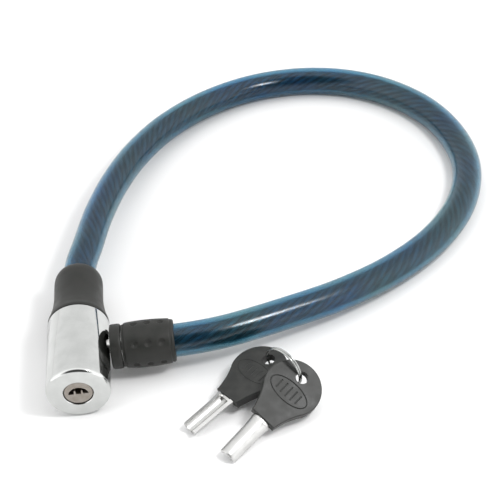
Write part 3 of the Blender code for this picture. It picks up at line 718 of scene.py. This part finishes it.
def make_sleeve(looks):
    barrel = [
        (8.7, 18.3, 0.1), (8.7, 19.0, 0.2), (9.3, 19.5, 0.4), (9.65, 23.0, 1.5), (9.8, 27.7, 2.0), (9.75, 32.2, 2.0),
        (9.45, 36.6, 0.6), (9.3, 37.9, 0.2), (8.85, 38.2, 0.2), (8.85, 39.2, 0.3), (8.4, 39.8, 0.3),
    ]
    outline = divided(rounded([*barrel, (7.25, 39.8, 0), (7.25, 18.3, 0)], 4), 0.3 * MM, 19 * MM, 37.9 * MM)
    bm = turned(outline, "X", 180)
    for vert in bm.verts:
        radius = math.hypot(vert.co.y, vert.co.z)
        if radius < SLEEVE_INNER_LIMIT:
            continue
        turn = math.atan2(vert.co.z, -vert.co.y) - DIMPLE_FIRST_ROW
        row_angle = math.tau / DIMPLE_ROWS
        off_row = turn - row_angle * round(turn / row_angle)
        depth = max(dimple_depth(math.hypot(vert.co.x - x, radius * off_row)) for x in DIMPLE_PLACES)
        vert.co.y *= 1 - depth / radius
        vert.co.z *= 1 - depth / radius
    moved(bm, Matrix.Translation(PLUG_AXIS))
    return piece("dimpled_sleeve", bm, looks["black_plastic"], ["plug_sleeve"], "plug", sharp=50)


# --- Keys -----------------------------------------------------------------------------------------------------


def key_matrix(pose):
    name, heading, pitch, roll, _ = pose
    hole = Vector(JOINTS[f"{name}_swing"]["pos_m"])
    turn = Matrix.Rotation(math.radians(heading - 90), 4, "Z")
    turn = turn @ Matrix.Rotation(math.radians(pitch), 4, "X") @ Matrix.Rotation(math.radians(roll), 4, "Y")
    return Matrix.Translation(hole) @ turn @ Matrix.Translation((0.0, -RING_HOLE * MM, 0.0))


def head_outline():
    """The key head's outline: a round bow that runs down in two hollow flanks to a straight base."""
    bow = arc((0.0, HEAD_CENTRE), HEAD_RADIUS, HEAD_BLEND_ANGLE, math.pi - HEAD_BLEND_ANGLE, 72)
    top, base, pull = Vector(bow[-1]), Vector((-HEAD_BASE, 0.0)), Vector((-HEAD_PULL[0], HEAD_PULL[1]))
    steps = [k / 12 for k in range(1, 13)]
    flank = [top * (1 - t) ** 2 + pull * 2 * t * (1 - t) + base * t**2 for t in steps]
    left = [(point.x, point.y) for point in flank]
    return [(x * MM, y * MM) for x, y in bow + left + [(-x, y) for x, y in reversed(left)]]


def softened_plate(outline, half, edge):
    """A flat plate with rounded rims: the outline stacked in rings that pull in towards both faces."""
    count = len(outline)
    outward = []
    for i in range(count):
        along = Vector(outline[(i + 1) % count]) - Vector(outline[i - 1])
        outward.append(Vector((along.y, -along.x)).normalized())
    levels = []
    for k in range(5):
        angle = math.pi / 2 * k / 4
        levels.append((edge * (1 - math.sin(angle)), -half + edge * (1 - math.cos(angle))))
    levels += [(inset, -height) for inset, height in reversed(levels)]
    rings = []
    for inset, height in levels:
        rings.append([Vector((*(Vector(p) - out * inset), height)) for p, out in zip(outline, outward)])
    return skinned(rings)


def engraving_tools(side):
    """What is cut into one face: a thin oval line, and short bars across the middle of it."""
    height = side * (KEY_THICKNESS / 2 + ENGRAVING_RISE) * MM
    radius = ENGRAVING_RADIUS * MM
    centre = OVAL_CENTRES[side]
    oval = arc((0.0, centre), OVAL_HALF_WIDTH, 0.0, math.tau, 96, OVAL_HALF_HEIGHT)[:-1]
    bm = bmesh.new()
    rings = []
    for i, (x, y) in enumerate(oval):
        along = Vector(oval[(i + 1) % len(oval)]) - Vector(oval[i - 1])
        out = Vector((along.y, -along.x, 0)).normalized()
        middle = Vector((x * MM, y * MM, height))
        rings.append([bm.verts.new(place) for place in ring_of(middle, out, Vector((0, 0, 1)), radius, 8)])
    for a, b in zip(rings, rings[1:] + rings[:1]):
        for k in range(8):
            bm.faces.new((a[k], a[(k + 1) % 8], b[(k + 1) % 8], b[k]))
    bmesh.ops.recalc_face_normals(bm, faces=bm.faces)
    tools = [bm]
    for x in ENGRAVED_BARS:
        half = ENGRAVED_BAR_HALF * math.sqrt(1 - (x / OVAL_HALF_WIDTH) ** 2) * MM
        bar = rod(radius * ENGRAVED_BAR_WIDENING, centre * MM - half, centre * MM + half, "Y", 12)
        tools.append(moved(bar, Matrix.Translation((x * MM, 0, height))))
    return tools


def make_head(pose, looks):
    name = pose[0]
    plate = softened_plate(head_outline(), KEY_THICKNESS / 2 * MM, HEAD_EDGE * MM)
    eye = rod(RING_HOLE_RADIUS * MM, -KEY_THICKNESS * MM, KEY_THICKNESS * MM, "Z", 48)
    moved(eye, Matrix.Translation((0.0, RING_HOLE * MM, 0.0)))
    width, length, thickness = (size * MM for size in TANG)
    width, length, thickness = width + FACE_GAP * MM, length + FACE_GAP * MM, thickness + FACE_GAP * MM
    pocket = prism([(-width, -1 * MM), (width, -1 * MM), (width, length), (-width, length)], -thickness, thickness)
    head = carved(plate, eye, pocket, *engraving_tools(1), *engraving_tools(-1))
    moved(head, key_matrix(pose))
    look = looks["key_head_plastic"]
    piece(f"{name}_moulded_head", head, look, [f"{name}_head"], name, 40, weighted=True)


def blade_section(scale):
    """A blade's half-round section in metres, hollow and grooved for the wards, its middle height at y = 0."""
    radius = BLADE_RADIUS * scale
    inner = radius - BLADE_WALL * scale
    centre = (0.0, -(radius + radius * math.cos(BLADE_HALF_ANGLE)) / 2)
    high, low = math.pi / 2 - BLADE_HALF_ANGLE, math.pi / 2 + BLADE_HALF_ANGLE
    outline = arc(centre, radius, high, low, 32)
    start = low
    for side in (1, -1):
        middle = math.pi / 2 + side * BLADE_GROOVE_ANGLE
        floor = (middle + BLADE_GROOVE_FLOOR, middle - BLADE_GROOVE_FLOOR)
        outline += arc(centre, inner, start, middle + BLADE_GROOVE_TOP, 6)
        outline += arc(centre, inner + BLADE_GROOVE_DEPTH * scale, *floor, 2)
        start = middle - BLADE_GROOVE_TOP
    outline += arc(centre, inner, start, high, 6)
    return [(x * MM, y * MM) for x, y in outline]


def make_blade(pose, looks):
    name, up = pose[0], pose[-1]
    stations = [*BLADE_STATIONS, *((BLADE_LENGTH - back, scale) for back, scale in BLADE_TIP_STATIONS)]
    rings = []
    for far, scale in stations:
        rings.append([Vector((x, -far * MM, y * up)) for x, y in blade_section(scale)])
    shaft = skinned(rings)
    width, length, thickness = (size * MM for size in TANG)
    tang = prism([(-width, -1 * MM), (width, -1 * MM), (width, length), (-width, length)], -thickness, thickness)
    half_width, half_height, near, far = (size * MM for size in BLADE_ROOT)
    root = prism(arc((0, 0), half_width, 0, math.tau, 32, half_height)[:-1], near, far)
    moved(root, Matrix.Rotation(math.pi / 2, 4, "X"))
    blade = joined([shaft, tang, root])
    moved(blade, key_matrix(pose))
    look = looks["key_blade_steel"]
    piece(f"{name}_plated_blade", blade, look, [f"{name}_blade"], name, 30)


def make_split_ring(looks):
    """Nearly two turns of bright wire, standing on edge in the upright plane through both ring holes."""
    front = Vector(JOINTS["front_key_swing"]["pos_m"])
    rear = Vector(JOINTS["rear_key_swing"]["pos_m"])
    chord = front - rear
    steps = int(96 * SPLIT_RING_TURNS)
    rings = []
    for i in range(steps + 1):
        angle = math.tau * SPLIT_RING_TURNS * i / steps
        outward = Vector((math.cos(angle), math.sin(angle), 0))
        rise = SPLIT_RING_PITCH * SPLIT_RING_TURNS * (i / steps - 0.5)
        end = min(i, steps - i)
        wire = SPLIT_RING_WIRE * (SPLIT_RING_END_SHARES[end] if end < 2 else 1)
        middle = outward * SPLIT_RING_RADIUS + Vector((0, 0, rise))
        rings.append(ring_of(middle, outward, Vector((0, 0, 1)), wire, 14))
    stand = Matrix.Rotation(math.atan2(chord.y, chord.x), 4, "Z") @ Matrix.Rotation(math.pi / 2, 4, "X")
    along, rise = SPLIT_RING_MIDDLE
    middle = (front + rear) / 2 + chord.normalized() * along + Vector((0, 0, rise))
    place = Matrix.Translation(middle) @ stand @ Matrix.Rotation(SPLIT_RING_START, 4, "Z")
    ring = moved(skinned(rings), place)
    piece("wire_split_ring", ring, looks["ring_steel"], ["split_ring"], "key_ring", sharp=50)


# --- Setting --------------------------------------------------------------------------------------------------


def make_camera():
    camera = bpy.data.objects.new("camera", bpy.data.cameras.new("camera"))
    camera.data.sensor_width = CAMERA_SENSOR
    camera.data.lens = CAMERA_LENS
    camera.data.clip_start = 10 * MM
    turn = Matrix.Rotation(-CAMERA_HEADING, 4, "Z") @ Matrix.Rotation(math.pi / 2 - CAMERA_PITCH, 4, "X")
    camera.matrix_world = Matrix.Translation(CAMERA_PLACE) @ turn @ Matrix.Rotation(CAMERA_ROLL, 4, "Z")
    bpy.context.scene.collection.objects.link(camera)
    bpy.context.scene.camera = camera


def softbox(name, direction, distance, size, power):
    """A square or oblong white light that faces the lock from that direction."""
    data = bpy.data.lights.new(name, "AREA")
    data.shape = "RECTANGLE"
    data.size, data.size_y = size
    data.energy = power
    light = bpy.data.objects.new(name, data)
    towards = Vector(direction).normalized()
    light.location = SCENE_MIDDLE + towards * distance
    light.rotation_euler = towards.to_track_quat("Z", "Y").to_euler()
    bpy.context.scene.collection.objects.link(light)


def make_world():
    """A white studio, a little greyer overhead and behind, with one dark patch in front and above."""
    world = bpy.data.worlds.new("studio")
    bpy.context.scene.world = world
    world.use_nodes = True
    tree = world.node_tree
    background = tree.nodes["Background"]
    source = tree.nodes.new("ShaderNodeTexCoord")
    split = tree.nodes.new("ShaderNodeSeparateXYZ")
    tree.links.new(source.outputs["Generated"], split.inputs["Vector"])
    overhead = ranged(tree, split.outputs["Z"], 1.0, OVERHEAD_SHADE, 0.0, 0.9)
    nearness = tree.nodes.new("ShaderNodeVectorMath")
    nearness.operation = "DOT_PRODUCT"
    nearness.inputs[1].default_value = DARK_PATCH
    tree.links.new(source.outputs["Generated"], nearness.inputs[0])
    patch = ranged(tree, nearness.outputs["Value"], 1.0, DARK_PATCH_SHADE, *DARK_PATCH_REACH)
    behind = ranged(tree, split.outputs["Y"], 1.0, BACK_SHADE, *BACK_REACH)
    brightness = calculated(tree, "MULTIPLY", calculated(tree, "MULTIPLY", overhead, patch), behind)
    tree.links.new(calculated(tree, "MULTIPLY", brightness, STUDIO_BRIGHTNESS), background.inputs["Strength"])
    background.inputs["Color"].default_value = (1.0, 1.0, 1.0, 1.0)


def make_setting():
    floor_bm = bmesh.new()
    bmesh.ops.create_grid(floor_bm, x_segments=1, y_segments=1, size=FLOOR_HALF_SIZE)
    mesh = bpy.data.meshes.new("floor")
    floor_bm.to_mesh(mesh)
    floor_bm.free()
    mesh.materials.append(floor_material())
    floor = bpy.data.objects.new("floor", mesh)
    bpy.context.scene.collection.objects.link(floor)
    make_world()
    softbox("key_light", KEY_LIGHT_DIRECTION, KEY_LIGHT_DISTANCE, KEY_LIGHT_SIZE, KEY_LIGHT_POWER)
    bpy.context.scene.view_settings.view_transform = "Standard"


def dress_inner_parts(looks):
    """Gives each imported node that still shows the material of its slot."""
    slots = {part["node"]: part["material_slot"] for part in frame["record"]["subparts"]}
    for name, node in frame["nodes"].items():
        if node.hide_render:
            continue
        node.data.materials.clear()
        node.data.materials.append(looks[slots[name]])


make_camera()
LOOKS = make_looks()
jacket, rope, cable_line = make_cable(LOOKS)
make_body_shell(LOOKS)
make_key_cylinder(LOOKS)
make_boot(LOOKS)
plug_pieces = [make_stud(LOOKS), make_collar(LOOKS), make_sleeve(LOOKS)]
for key in (FRONT_KEY, REAR_KEY):
    make_head(key, LOOKS)
    make_blade(key, LOOKS)
make_split_ring(LOOKS)
dress_inner_parts(LOOKS)
make_setting()
